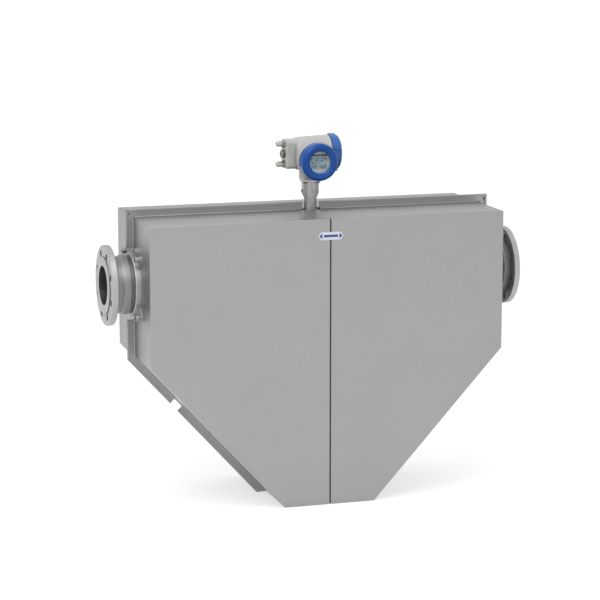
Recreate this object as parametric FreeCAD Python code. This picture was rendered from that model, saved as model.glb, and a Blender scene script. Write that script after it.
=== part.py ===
# A flanged twin-tube coriolis flow meter in a folded sheet casing, with its signal converter on a neck.
# Millimetres. X runs along the flow, Z is up and the display faces -Y.
# Everything is modelled about the meter's middle: X = 0 is half way along, and the pipe axis is at Y = Z = 0.
# Each piece is then moved along X, so that the origin is the centre of the inlet flange's face.
import FreeCAD, Part
import math
import os
from FreeCAD import Vector

# Pipe connection
CONNECTION_LENGTH = 87.0
BORE_RADIUS = 53.5
FLANGE_RADIUS = 110.0
FLANGE_THICKNESS = 20.0
RAISED_FACE_RADIUS = 79.0
RAISED_FACE_HEIGHT = 3.0
BOLT_CIRCLE_RADIUS = 90.0
BOLT_COUNT = 8
BOLT_HOLE_RADIUS = 9.0
HUB_RADIUS = 79.0
HUB_LENGTH = 6.0
HUB_EDGE = 1.5
GROOVE_RADIUS = 77.0
GROOVE_LENGTH = 11.0
SPOOL_TAPER = 10.0
FLANGE_EDGE = 1.5
SPOOL_RADIUS = 81.0
SPOOL_END_GAP = 24.5
BEAD_HEIGHT = 1.2
BEAD_WIDTH = 4.0
PIPE_RADIUS = 75.0
PIPE_DEPTH_IN_CASING = 20.0

# Casing
CASING_WIDTH = 1005.0
FRONT_DEPTH = 186.5
REAR_DEPTH = 195.0
CASING_TOP = 184.0
SIDE_BOTTOM = -202.0
CASING_BASE = -613.0
BASE_WIDTH = 258.0
SHEET = 2.0
BEND_RADIUS = 4.0
LIP_WIDTH = 22.0
HEM_WIDTH = 7.0
HEM_GAP = 0.3
HEM_CHAMFER = 1.4
FRONT_LIP_INSET = 3.0
LIP_END_FROM_AXIS = 99.0
LIP_BEND_RADIUS = 3.0
LIP_HOLE_RADIUS = 3.0
LIP_HOLE_OUT = 13.8
LIP_HOLE_UP = 8.4
HEM_RELIEF_RADIUS = 2.2
HEM_RELIEF_INSET = 1.6
WALL_RELIEF_RADIUS = 2.6
WALL_RELIEF_DEPTH = 7.0
NOTCH_START = 167.0
NOTCH_LENGTH = 31.0
NOTCH_DEPTH = 18.0
SEAM_WIDTH = 3.5
SEAM_LIP_DEPTH = 12.0
SEAM_BUTT_GAP = 0.6
SEAM_ROUND = 1.2
SEAM_STRIP_WIDTH = 24.0
SEAM_STRIP_THICKNESS = 3.0
BADGE_WIDTH = 74.0
BADGE_HEIGHT = 22.0
BADGE_POINT = 9.0
BADGE_CORNER = 4.0
BADGE_THICKNESS = 1.0
BADGE_Z = 137.0

# Collar that clamps the casing to each pipe end
COLLAR_RADIUS = 87.0
COLLAR_THICKNESS = 16.0
COLLAR_EDGE = 3.0
EAR_RADIUS = 13.0
EAR_THICKNESS = 3.0
EAR_OFFSET = 79.5
COLLAR_SCREW_RADIUS = 5.0
COLLAR_SCREW_HEAD_RADIUS = 8.5
COLLAR_SCREW_HEAD_LENGTH = 13.5
COLLAR_SCREW_EDGE = 1.2
COLLAR_NUT_THICKNESS = 8.0
CASING_PIPE_GAP = 3.0

# Measuring tubes and what holds them
TUBE_RADIUS = 27.0
TUBE_WALL = 2.6
TUBE_OFFSET = 42.0
SPLITTER_LENGTH = 55.0
SPLITTER_HALF = 84.0
SPLITTER_EDGE = 28.0
SOCKET_DEPTH = 15.0
TUBE_BEND_FROM_SPLITTER = 40.0
TUBE_SLOPE = 50.0
SHOULDER_RADIUS = 80.0
BOTTOM_RADIUS = 130.0
CHANNEL_WALL = 8.0
CHANNEL_SKIRT = 30.0
BRACE_THICKNESS = 6.0
BRACE_HEIGHT = 78.0
BRACE_MARGIN = 10.0
BRACE_STATIONS = (62.0, 112.0)
PICKOFF_STATION = 265.0
COIL_RADIUS = 14.0
COIL_BORE = 8.0
COIL_REACH = 3.0
MAGNET_RADIUS = 6.0
MAGNET_REACH = 6.0
MAGNET_BASE = 10.0
SENSOR_SIZE = 14.0
BOARD_LENGTH = 80.0
BOARD_WIDTH = 50.0
BOARD_THICKNESS = 1.6
BOARD_STANDOFF = 6.0
BOARD_POST_RADIUS = 3.0
BOARD_POST_INSET = 6.0
BOARD_ROW_INSET = 8.0
BOARD_ROW_WIDTH = 14.0
BOARD_ROW_HEIGHT = 12.0

# Neck
NECK_RADIUS = 18.0
NECK_WALL = 3.0
NECK_TOP = 251.0
NECK_SLEEVE_RADIUS = 20.0
NECK_SLEEVE_HEIGHT = 2.0
NECK_CUTOUT_LEFT = 24.0
NECK_CUTOUT_RIGHT = 26.0
NECK_HOLE_GAP = 0.3
NECK_RELIEF_LEFT = 24.5
NECK_RELIEF_RIGHT = 28.0
NECK_RELIEF_FRONT = 5.0
NECK_RELIEF_REAR = 17.0
ADAPTER_BOTTOM = 220.0
ADAPTER_PLATE_BOTTOM = 263.0
ADAPTER_PLATE_THICKNESS = 5.0
ADAPTER_WALL = 2.0
GUSSET_WIDTH = 16.0
GUSSET_REACH = 23.0
GUSSET_FOOT = 224.0
GUSSET_SHOULDER = 232.0
GUSSET_FLARE = 2.0
GUSSET_FLARE_HEIGHT = 8.0
WEB_WIDTH = 3.0
WEB_REACH = 22.0
WEB_FOOT = 232.0
WEB_SHOULDER = 238.0
PLATE_LENGTH = 51.0
PLATE_WIDTH = 46.0
PLATE_CORNER = 6.0
TURN_GAP = 0.3
SPIGOT_RADIUS = 14.0
SPIGOT_HEIGHT = 5.0
WIRE_HOLE_RADIUS = 8.0
ADAPTER_SCREW_RADIUS = 2.5
ADAPTER_SCREW_HEAD = 3.2
ADAPTER_SCREW_HEAD_HEIGHT = 4.0
ADAPTER_SCREW_DEPTH = 8.0
ADAPTER_SCREW_INSET = 6.0
LOCK_SCREW_Z = 236.5
LOCK_SCREW_RADIUS = 3.0
LOCK_SCREW_HEAD = 4.0
LOCK_SCREW_HEAD_LENGTH = 2.5
LOCK_SCREW_KEY = 4.0
LOCK_SCREW_KEY_DEPTH = 1.5

# Converter housing
BODY_AXIS_Z = 341.0
BODY_LEFT = -50.0
BODY_RIGHT = 50.0
BODY_LEFT_RADIUS = 45.4
BODY_RIGHT_RADIUS = 49.4
BODY_END_ROUND = 14.0
BODY_CHAMFER = 0.8
HOUSING_WALL = 4.0
BLOCK_LEFT = -75.0
BLOCK_DEPTH = 56.0
BLOCK_HEIGHT = 80.0
BLOCK_EDGE = 11.0
BLOCK_END_ROUND = 3.0
NECK_BLOCK_MARGIN = 1.0
DISPLAY_AXIS_Z = 325.0
DRUM_RADIUS = 45.4
COLLAR_FACE = 61.0
DRUM_COLLAR_RADIUS = 52.0
DRUM_COLLAR_LENGTH = 23.0
DRUM_COLLAR_CHAMFER = 3.0
SPIGOT_THREAD_RADIUS = 44.5
SPIGOT_THREAD_LENGTH = 15.0
THREAD_WALL = 4.5
THREAD_GAP = 0.3
THREAD_PITCH = 1.5
SEAL_RADIUS = 1.4
SEAL_ROOM = 0.5

# Display cover
RING_RADIUS = 51.6
RING_DEPTH = 36.0
RING_ROUND = 12.0
RING_SEAM = 0.8
RING_CHAMFER = 1.5
RING_DRAFT = 0.4
RING_CREST_RADIUS = 41.0
RING_STEP_RADIUS = 36.5
RING_STEP_DEPTH = 2.0
RING_LAND_RADIUS = 34.0
WINDOW_RADIUS = 30.0
WINDOW_RECESS = 5.0
WINDOW_LIP = 4.0
GLASS_RADIUS = 37.0
GLASS_THICKNESS = 4.4
GLASS_SEAT_TAPER = 3.0
MODULE_DEPTH = 18.0
MODULE_FACE = 15.0
SCREEN_WIDTH = 48.0
SCREEN_HEIGHT = 37.0
SCREEN_THICKNESS = 1.0
SCREEN_DROP = 3.0

# Terminal cover
CAP_RADIUS = 50.5
CAP_LENGTH = 30.0
CAP_SEAM = 1.5
CAP_CHAMFER = 1.0
CAP_ROUND = 13.0
CAP_WALL = 4.0
CAP_RIB_COUNT = 4
CAP_RIB_TILT = 17.0
CAP_RIB_WIDTH = 6.0
CAP_RIB_HEIGHT = 2.5
CAP_RIB_ROUND = 1.5
CAP_RIB_ROOT = 5.0
CAP_RIB_INSET = 3.0
CAP_CLEARANCE = 1.0
INSERT_LENGTH = 30.0
INSERT_SEAT = -10.0
STRIP_HEIGHT = 56.0
STRIP_WIDTH = 16.0
STRIP_DEPTH = 12.0
STRIP_POLES = 7

# Cable entries
ENTRY_PITCH = 28.0
ENTRY_THREAD_RADIUS = 7.8
ENTRY_THREAD_LENGTH = 8.0
GLAND_FLATS = 17.0
GLAND_HEX_LENGTH = 6.5
GLAND_STEM_RADIUS = 5.8
GLAND_STEM_LENGTH = 9.0
GLAND_BORE = 3.5
GLAND_CUP_RADIUS = 4.9
GLAND_CUP_DEPTH = 6.0
GLAND_SEAL_RADIUS = 4.6
GLAND_SEAL_LENGTH = 7.0
GLAND_NUT_RADIUS = 7.4
GLAND_NUT_LENGTH = 16.5
GLAND_NUT_ROUND = 3.0
GLAND_NUT_RIBS = 8
GLAND_GROOVE_RADIUS = 1.2
GLAND_GROOVE_OUT = 0.6
PLUG_HEAD_RADIUS = 10.8
PLUG_HEAD_LENGTH = 7.5
PLUG_HEAD_ROUND = 2.0
PLUG_KEY_FLATS = 8.0
PLUG_KEY_DEPTH = 4.0
PLUG_SEAL_WIDTH = 2.0
PLUG_SEAL_INSET = 0.5

X_AXIS = Vector(1, 0, 0)
Y_AXIS = Vector(0, 1, 0)
Z_AXIS = Vector(0, 0, 1)
ORIGIN = Vector(0, 0, 0)

HALF_WIDTH = CASING_WIDTH / 2
HALF_LENGTH = HALF_WIDTH + CONNECTION_LENGTH
PIPE_END = HALF_WIDTH - PIPE_DEPTH_IN_CASING
SPLITTER_END = PIPE_END - SPLITTER_LENGTH
BORE_LENGTH = HALF_LENGTH - PIPE_END
COLLAR_OUTER = HALF_WIDTH + COLLAR_THICKNESS
DIAGONAL_ANGLE = math.atan2(SIDE_BOTTOM - CASING_BASE, HALF_WIDTH - BASE_WIDTH / 2)
CHANNEL_TOP = SPLITTER_HALF + CHANNEL_WALL
ADAPTER_TOP = ADAPTER_PLATE_BOTTOM + ADAPTER_PLATE_THICKNESS
DISPLAY_BORE = SPIGOT_THREAD_RADIUS - THREAD_WALL
DISPLAY_FLOOR = BODY_RIGHT_RADIUS - HOUSING_WALL
GLASS_BACK = COLLAR_FACE + RING_DEPTH - WINDOW_RECESS - WINDOW_LIP - THREAD_GAP - GLASS_THICKNESS
ENTRY_HEIGHTS = (BODY_AXIS_Z + ENTRY_PITCH, BODY_AXIS_Z - ENTRY_PITCH)


# Basic solids

def box(x0, x1, y0, y1, z0, z1):
    """A box between two corners."""
    return Part.makeBox(x1 - x0, y1 - y0, z1 - z0, Vector(x0, y0, z0))


def rod(radius, start, end):
    """A round bar from one point to another."""
    along = end - start
    return Part.makeCylinder(radius, along.Length, start, along)


def turned(profile, start, axis):
    """A solid turned about an axis: the profile lists (distance along, radius) and may hold arcs' mid points.

    A point given as (distance, radius, "arc") is the middle of an arc between its neighbours."""
    side = axis.cross(Z_AXIS)
    if side.Length < 0.5:
        side = X_AXIS
    side.normalize()

    def place(point):
        return start + axis * point[0] + side * point[1]

    edges = []
    count = len(profile)
    i = 0
    while i < count:
        here = profile[i]
        after = profile[(i + 1) % count]
        if len(after) == 3:
            beyond = profile[(i + 2) % count]
            edges.append(Part.Arc(place(here), place(after), place(beyond)).toShape())
            i += 2
        else:
            edges.append(Part.LineSegment(place(here), place(after)).toShape())
            i += 1
    return Part.Face(Part.Wire(edges)).revolve(start, axis, 360)


def prism(points, y0, y1):
    """An outline of (x, z) points, extruded from y0 to y1."""
    corners = [Vector(x, y0, z) for x, z in points]
    face = Part.Face(Part.makePolygon(corners + [corners[0]]))
    return face.extrude(Vector(0, y1 - y0, 0))


def hexagon(flats, start, end):
    """A hexagonal bar along X between two points."""
    corner = flats / math.sqrt(3)
    turns = [math.radians(60 * i + 30) for i in range(7)]
    points = [start + Vector(0, corner * math.cos(t), corner * math.sin(t)) for t in turns]
    return Part.Face(Part.makePolygon(points)).extrude(end - start)


def rounded_block(length, width, z0, z1, corner):
    """An upright block about the Z axis with rounded vertical edges."""
    block = box(-length / 2, length / 2, -width / 2, width / 2, z0, z1)
    upright = [e for e in block.Edges if abs(e.tangentAt(e.FirstParameter).z) > 0.9]
    return block.makeFillet(corner, upright)


def facing_left(shape):
    """The same shape turned half round the Z axis, for the inlet end."""
    return shape.copy().rotated(ORIGIN, Z_AXIS, 180)


# Casing

def casing_outline(offset, base):
    """The casing's right half outline, moved outward by an offset, from the base's middle to the top's middle."""
    top = CASING_TOP + offset
    side = HALF_WIDTH + offset
    slope = math.tan(DIAGONAL_ANGLE)
    line_x = HALF_WIDTH + offset * math.sin(DIAGONAL_ANGLE)
    line_z = SIDE_BOTTOM - offset * math.cos(DIAGONAL_ANGLE)
    corner_z = line_z + (side - line_x) * slope
    base_x = line_x - (line_z - base) / slope
    return [(base_x, base), (side, corner_z), (side, top)]


def full_outline(offset, base):
    """The whole casing outline, moved outward by an offset."""
    right = casing_outline(offset, base)
    left = [(-x, z) for x, z in reversed(right)]
    return right + left


def folded_half(depth):
    """One half of the casing, open at the middle plane: panel, walls and rounded bends, towards +Y."""
    outer = prism(full_outline(0, CASING_BASE), 0, depth)
    outer = outer.makeFillet(BEND_RADIUS, [e for e in outer.Edges if e.BoundBox.YMax > 1])
    inner = prism(full_outline(-SHEET, CASING_BASE + SHEET), -1, depth - SHEET)
    inner = inner.makeFillet(BEND_RADIUS - SHEET, [e for e in inner.Edges if e.BoundBox.YMax > 1])
    return outer.cut(inner)


def lip_ring(inside, outside, y0, y1):
    """A flat band round the casing between two offsets, open along the base."""
    band = prism(full_outline(outside, CASING_BASE), y0, y1)
    below = CASING_BASE - 1 if inside > 0 else CASING_BASE + SHEET
    return band.cut(prism(full_outline(inside, below), y0 - 1, y1 + 1))


def lip_openings():
    """What is cut from both lips: room for the pipes and the neck, and the two notches."""
    reach = HALF_WIDTH + 2 * LIP_WIDTH
    deep = 5 * SHEET
    cuts = []
    for side in (-1, 1):
        ends = sorted((side * HALF_WIDTH, side * reach))
        cuts.append(box(*ends, -deep, deep, -LIP_END_FROM_AXIS, LIP_END_FROM_AXIS))
        cuts.append(notch(side, deep))
    top = CASING_TOP + 2 * LIP_WIDTH
    cuts.append(box(-NECK_CUTOUT_LEFT, NECK_CUTOUT_RIGHT, -deep, deep, CASING_TOP, top))
    return cuts


def front_corner_reliefs():
    """What is cut from the front half's top corners: a hole in the lip and a hole where the wall bends meet."""
    cuts = []
    for side in (-1, 1):
        hole = Vector(side * (HALF_WIDTH + LIP_HOLE_OUT), 0, CASING_TOP + LIP_HOLE_UP)
        cuts.append(rod(LIP_HOLE_RADIUS, hole - Y_AXIS * (SHEET + 1), hole))
        corner = Vector(side * HALF_WIDTH, 0, CASING_TOP)
        cuts.append(rod(WALL_RELIEF_RADIUS, corner - Y_AXIS * WALL_RELIEF_DEPTH, corner))
    return cuts


def hem_reliefs(hem_front):
    """What is cut from the hem's top corners, so that it can be folded over."""
    inset = LIP_WIDTH - HEM_RELIEF_INSET
    cuts = []
    for side in (-1, 1):
        corner = Vector(side * (HALF_WIDTH + inset), hem_front - 1, CASING_TOP + inset)
        cuts.append(rod(HEM_RELIEF_RADIUS, corner, corner - Y_AXIS * corner.y))
    return cuts


def notch(side, deep):
    """The rectangular notch in the diagonal lip, cut in from its outer edge."""
    corner = Vector(HALF_WIDTH, 0, SIDE_BOTTOM)
    down = Vector(-math.cos(DIAGONAL_ANGLE), 0, -math.sin(DIAGONAL_ANGLE))
    out = Vector(math.sin(DIAGONAL_ANGLE), 0, -math.cos(DIAGONAL_ANGLE))
    start = corner + down * NOTCH_START + out * (LIP_WIDTH - NOTCH_DEPTH)
    points = [
        start,
        start + down * NOTCH_LENGTH,
        start + down * NOTCH_LENGTH + out * LIP_WIDTH,
        start + out * LIP_WIDTH,
    ]
    return prism([(side * p.x, p.z) for p in points], -deep, deep)


def wall_openings():
    """What is cut from the walls: pipe holes, bend reliefs beside them and the neck, screw and neck holes."""
    relief = BEND_RADIUS + SHEET / 2
    cuts = []
    for side in (-1, 1):
        inside = Vector(side * (HALF_WIDTH - 2 * BEND_RADIUS), 0, 0)
        outside = Vector(side * (HALF_WIDTH + 1), 0, 0)
        cuts.append(rod(PIPE_RADIUS + CASING_PIPE_GAP, inside, outside))
        ends = sorted((inside.x, outside.x))
        cuts.append(box(*ends, -relief, relief, -LIP_END_FROM_AXIS, LIP_END_FROM_AXIS))
        for centre in collar_screw_centres():
            cuts.append(rod(COLLAR_SCREW_RADIUS, inside + centre, outside + centre))
    floor = Vector(0, 0, CASING_TOP - 2 * BEND_RADIUS)
    above = floor + Z_AXIS * 3 * BEND_RADIUS
    cuts.append(rod(NECK_RADIUS + NECK_HOLE_GAP, floor, above))
    cuts.append(box(
        -NECK_RELIEF_LEFT, NECK_RELIEF_RIGHT, -NECK_RELIEF_FRONT, NECK_RELIEF_REAR, floor.z, above.z,
    ))
    return cuts


def on_outline(edge, y, offset):
    """Is this edge at this Y, on the casing's outline moved outward by an offset?"""
    if abs(edge.BoundBox.YMax - y) > 0.01 or abs(edge.BoundBox.YMin - y) > 0.01:
        return False
    outline = Part.makePolygon([Vector(x, y, z) for x, z in full_outline(offset, CASING_BASE)])
    middle = edge.valueAt((edge.FirstParameter + edge.LastParameter) / 2)
    return outline.distToShape(Part.Vertex(middle))[0] < 0.01


def lip_bend():
    """The small concave bend between walls and lip, swept round the outline of a half that lies towards +Y."""
    outline = full_outline(0, CASING_BASE - 2 * LIP_BEND_RADIUS)
    path = Part.makePolygon([Vector(x, SHEET, z) for x, z in outline])
    start = path.OrderedVertexes[0].Point
    out = Vector(math.sin(DIAGONAL_ANGLE), 0, -math.cos(DIAGONAL_ANGLE))
    into_wall = -0.75 * SHEET
    bend = LIP_BEND_RADIUS * (1 - math.sqrt(0.5))

    def at(distance, depth):
        return start + out * distance + Y_AXIS * depth

    profile = Part.Wire([
        Part.LineSegment(at(into_wall, LIP_BEND_RADIUS), at(into_wall, -SHEET / 2)).toShape(),
        Part.LineSegment(at(into_wall, -SHEET / 2), at(LIP_BEND_RADIUS, -SHEET / 2)).toShape(),
        Part.LineSegment(at(LIP_BEND_RADIUS, -SHEET / 2), at(LIP_BEND_RADIUS, 0)).toShape(),
        Part.Arc(at(LIP_BEND_RADIUS, 0), at(bend, bend), at(0, LIP_BEND_RADIUS)).toShape(),
        Part.LineSegment(at(0, LIP_BEND_RADIUS), at(into_wall, LIP_BEND_RADIUS)).toShape(),
    ])
    sweep = path.makePipeShell([profile], True, False, 1)
    reach = HALF_WIDTH + LIP_WIDTH
    return sweep.common(box(-reach, reach, 0, 2 * LIP_BEND_RADIUS, CASING_BASE, CASING_TOP + LIP_WIDTH))


def lipped_half(lip_width, depth):
    """One half of the casing with its lip: the walls turn outward at the middle plane in a small bend."""
    return folded_half(depth).fuse(lip_ring(-SHEET, lip_width, 0, SHEET)).fuse(lip_bend()).removeSplitter()


def rear_cover():
    """The rear half: folded walls, an outward lip and a hem that closes over the front lip's edge."""
    hem_front = -(2 * SHEET + HEM_GAP)
    front_edge = LIP_WIDTH - FRONT_LIP_INSET + HEM_GAP
    root = lip_ring(front_edge, LIP_WIDTH, hem_front, 0)
    flap = lip_ring(LIP_WIDTH - HEM_WIDTH, LIP_WIDTH, hem_front, hem_front + SHEET)
    hem = root.fuse(flap).removeSplitter()
    hem = hem.makeChamfer(HEM_CHAMFER, [e for e in hem.Edges if on_outline(e, hem_front, LIP_WIDTH)])
    hem = hem.cut(hem_reliefs(hem_front))
    shell = lipped_half(LIP_WIDTH, REAR_DEPTH).fuse(hem)
    return shell.cut(lip_openings() + wall_openings()).removeSplitter()


def front_half():
    """The front half before it is split: folded walls and the lip that the rear hem holds."""
    shell = lipped_half(LIP_WIDTH - FRONT_LIP_INSET, FRONT_DEPTH).mirror(ORIGIN, Y_AXIS)
    return shell.cut(lip_openings() + wall_openings() + front_corner_reliefs()).removeSplitter()


def front_cover(side, half):
    """The left or right front cover, with its edge folded inward along the seam."""
    far = side * (HALF_WIDTH + 2 * LIP_WIDTH)
    near = side * SEAM_BUTT_GAP / 2
    keep = box(*sorted((near, far)), -FRONT_DEPTH, 0, CASING_BASE, CASING_TOP + LIP_WIDTH)
    edge = side * SEAM_WIDTH / 2
    groove = box(*sorted((near, edge)), -FRONT_DEPTH, -FRONT_DEPTH + SEAM_LIP_DEPTH, CASING_BASE, CASING_TOP)
    lip = box(
        *sorted((edge, edge + side * SHEET)),
        -FRONT_DEPTH + SHEET, -FRONT_DEPTH + SEAM_LIP_DEPTH, CASING_BASE + SHEET, CASING_TOP - SHEET,
    )
    cover = half.common(keep).cut(groove).fuse(lip).removeSplitter()
    fold = [
        e for e in cover.Edges
        if abs(e.BoundBox.YMax + FRONT_DEPTH) < 0.01 and e.BoundBox.ZLength > CASING_TOP
        and abs(e.CenterOfMass.x - edge) < 0.01
    ]
    return cover.makeFillet(SEAM_ROUND, fold)


def seam_strip():
    """The strip inside the casing that closes the seam behind both folded edges."""
    back = -FRONT_DEPTH + SEAM_LIP_DEPTH
    half = SEAM_STRIP_WIDTH / 2
    return box(-half, half, back, back + SEAM_STRIP_THICKNESS, CASING_BASE + SHEET, CASING_TOP - SHEET)


def badge():
    """A blank six-sided plate with pointed ends and rounded corners, across the seam."""
    tip = BADGE_WIDTH / 2
    shoulder = tip - BADGE_POINT
    rise = BADGE_HEIGHT / 2
    points = [(tip, 0), (shoulder, rise), (-shoulder, rise), (-tip, 0), (-shoulder, -rise), (shoulder, -rise)]
    plate = prism([(x, BADGE_Z + z) for x, z in points], -FRONT_DEPTH - BADGE_THICKNESS, -FRONT_DEPTH)
    return plate.makeFillet(BADGE_CORNER, [e for e in plate.Edges if e.BoundBox.YLength > BADGE_THICKNESS / 2])


# Pipe ends

def pipe_end():
    """The outlet flange with its hub, groove, spool and pipe, turned as one piece."""
    back = FLANGE_THICKNESS
    hub_end = back + HUB_LENGTH
    groove_end = hub_end + GROOVE_LENGTH
    spool_end = CONNECTION_LENGTH - SPOOL_END_GAP
    profile = [
        (0, BORE_RADIUS),
        (0, RAISED_FACE_RADIUS),
        (RAISED_FACE_HEIGHT, RAISED_FACE_RADIUS),
        (RAISED_FACE_HEIGHT, FLANGE_RADIUS - FLANGE_EDGE),
        (RAISED_FACE_HEIGHT + FLANGE_EDGE, FLANGE_RADIUS),
        (back - FLANGE_EDGE, FLANGE_RADIUS),
        (back, FLANGE_RADIUS - FLANGE_EDGE),
        (back, HUB_RADIUS),
        (hub_end - HUB_EDGE, HUB_RADIUS),
        (hub_end, HUB_RADIUS - HUB_EDGE),
        (hub_end, GROOVE_RADIUS),
        (groove_end, GROOVE_RADIUS),
        (groove_end + SPOOL_TAPER, SPOOL_RADIUS),
        (spool_end - BEAD_WIDTH, SPOOL_RADIUS),
        (spool_end - BEAD_WIDTH / 2, SPOOL_RADIUS + BEAD_HEIGHT, "arc"),
        (spool_end, SPOOL_RADIUS),
        (spool_end, PIPE_RADIUS),
        (BORE_LENGTH, PIPE_RADIUS),
        (BORE_LENGTH, BORE_RADIUS),
    ]
    body = turned(profile, Vector(HALF_LENGTH, 0, 0), -X_AXIS)
    holes = []
    for i in range(BOLT_COUNT):
        turn = math.radians((i + 0.5) * 360 / BOLT_COUNT)
        centre = Vector(0, BOLT_CIRCLE_RADIUS * math.cos(turn), BOLT_CIRCLE_RADIUS * math.sin(turn))
        holes.append(rod(
            BOLT_HOLE_RADIUS,
            centre + Vector(HALF_LENGTH + 1, 0, 0),
            centre + Vector(HALF_LENGTH - FLANGE_THICKNESS - 1, 0, 0),
        ))
    return body.cut(holes)


def collar_screw_centres():
    """The four screw places of a collar, as offsets in Y and Z."""
    return [Vector(0, y * EAR_OFFSET, z * EAR_OFFSET) for y in (-1, 1) for z in (-1, 1)]


def collar():
    """The outlet collar: a ring on the casing wall with four ears for screws."""
    wall = Vector(HALF_WIDTH, 0, 0)
    ring = rod(COLLAR_RADIUS, wall, Vector(COLLAR_OUTER, 0, 0))
    rounded = [e for e in ring.Edges if abs(e.BoundBox.XMin - COLLAR_OUTER) < 0.01 and e.Length > COLLAR_RADIUS]
    ring = ring.makeFillet(COLLAR_EDGE, rounded)
    solids = []
    for centre in collar_screw_centres():
        tip = wall + centre
        solids.append(rod(EAR_RADIUS, tip, tip + X_AXIS * EAR_THICKNESS))
        web = box(0, EAR_THICKNESS, -EAR_RADIUS, EAR_RADIUS, 0, centre.Length)
        turn = math.degrees(math.atan2(centre.z, centre.y)) - 90
        web.rotate(ORIGIN, X_AXIS, turn)
        web.translate(wall)
        solids.append(web)
    holes = [
        rod(COLLAR_SCREW_RADIUS, wall + c - X_AXIS, wall + c + X_AXIS * (EAR_THICKNESS + 1))
        for c in collar_screw_centres()
    ]
    holes.append(rod(PIPE_RADIUS, wall - X_AXIS, Vector(COLLAR_OUTER + 1, 0, 0)))
    return ring.multiFuse(solids).cut(holes).removeSplitter()


def collar_screws():
    """Four socket head screws through the ears and the casing wall."""
    seat = HALF_WIDTH + EAR_THICKNESS
    inner = HALF_WIDTH - SHEET - COLLAR_NUT_THICKNESS
    screws = []
    for centre in collar_screw_centres():
        head_end = seat + COLLAR_SCREW_HEAD_LENGTH
        head = rod(COLLAR_SCREW_HEAD_RADIUS, Vector(seat, 0, 0) + centre, Vector(head_end, 0, 0) + centre)
        outer = [e for e in head.Edges if abs(e.BoundBox.XMin - head_end) < 0.01]
        head = head.makeFillet(COLLAR_SCREW_EDGE, outer)
        shank = rod(COLLAR_SCREW_RADIUS, Vector(inner, 0, 0) + centre, Vector(seat, 0, 0) + centre)
        key_floor = head_end - COLLAR_SCREW_HEAD_LENGTH / 2
        key = hexagon(COLLAR_SCREW_HEAD_RADIUS, Vector(key_floor, 0, 0) + centre, Vector(head_end, 0, 0) + centre)
        screws.append(head.fuse(shank).cut(key).removeSplitter())
    return Part.makeCompound(screws)


def collar_nuts():
    """Four nuts inside the casing wall."""
    outer = HALF_WIDTH - SHEET
    inner = outer - COLLAR_NUT_THICKNESS
    nuts = []
    for centre in collar_screw_centres():
        start = Vector(inner, 0, 0) + centre
        end = Vector(outer, 0, 0) + centre
        nut = hexagon(2 * COLLAR_SCREW_HEAD_RADIUS - 1, start, end)
        nuts.append(nut.cut(rod(COLLAR_SCREW_RADIUS, start, end)))
    return Part.makeCompound(nuts)


# Measuring system

def tube_points():
    """The tube's route in X and Z: two shoulders and the bottom of the V, each with its bend radius."""
    shoulder_x = SPLITTER_END - TUBE_BEND_FROM_SPLITTER + SOCKET_DEPTH
    bottom_z = -shoulder_x * math.tan(math.radians(TUBE_SLOPE))
    return shoulder_x, bottom_z


def tube_path(offset):
    """The centre line of one tube: straight runs joined by tangent arcs."""
    shoulder_x, bottom_z = tube_points()
    slope = math.radians(TUBE_SLOPE)
    end_x = SPLITTER_END + SOCKET_DEPTH
    reach = SHOULDER_RADIUS * math.tan(slope / 2)
    run = BOTTOM_RADIUS * math.tan(slope)

    def along(start, angle, distance):
        return Vector(start.x + distance * math.cos(angle), offset, start.z + distance * math.sin(angle))

    corner = Vector(shoulder_x, offset, 0)
    bottom = Vector(0, offset, bottom_z)
    level = along(corner, 0, reach)
    inclined = along(corner, math.pi + slope, reach)
    middle = along(Vector(level.x, offset, -SHOULDER_RADIUS), math.pi / 2 + slope / 2, SHOULDER_RADIUS)
    low = along(bottom, slope, run)
    lowest = Vector(0, offset, bottom_z + BOTTOM_RADIUS / math.cos(slope) - BOTTOM_RADIUS)

    def mirrored(point):
        return Vector(-point.x, point.y, point.z)

    return Part.Wire([
        Part.LineSegment(Vector(end_x, offset, 0), level).toShape(),
        Part.Arc(level, middle, inclined).toShape(),
        Part.LineSegment(inclined, low).toShape(),
        Part.Arc(low, lowest, mirrored(low)).toShape(),
        Part.LineSegment(mirrored(low), mirrored(inclined)).toShape(),
        Part.Arc(mirrored(inclined), mirrored(middle), mirrored(level)).toShape(),
        Part.LineSegment(mirrored(level), Vector(-end_x, offset, 0)).toShape(),
    ])


def swept(offset, radius):
    """A round bar along one tube's centre line."""
    path = tube_path(offset)
    start = path.OrderedVertexes[0].Point
    section = Part.Wire(Part.Circle(start, X_AXIS, radius).toShape())
    return path.makePipeShell([section], True, False)


def splitter(tube_bars):
    """The outlet manifold: one bore divides into the two tube sockets."""
    block = box(SPLITTER_END, PIPE_END, -SPLITTER_HALF, SPLITTER_HALF, -SPLITTER_HALF, SPLITTER_HALF)
    lengthwise = [e for e in block.Edges if abs(e.tangentAt(e.FirstParameter).x) > 0.9]
    block = block.makeFillet(SPLITTER_EDGE, lengthwise)
    mouth = Part.Wire(Part.Circle(Vector(PIPE_END, 0, 0), X_AXIS, BORE_RADIUS).toShape())
    cuts = list(tube_bars)
    for side in (-1, 1):
        seat = Vector(SPLITTER_END + SOCKET_DEPTH, side * TUBE_OFFSET, 0)
        throat = Part.Wire(Part.Circle(seat, X_AXIS, TUBE_RADIUS - TUBE_WALL).toShape())
        cuts.append(Part.makeLoft([mouth, throat], True, True))
    return block.cut(cuts)


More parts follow.
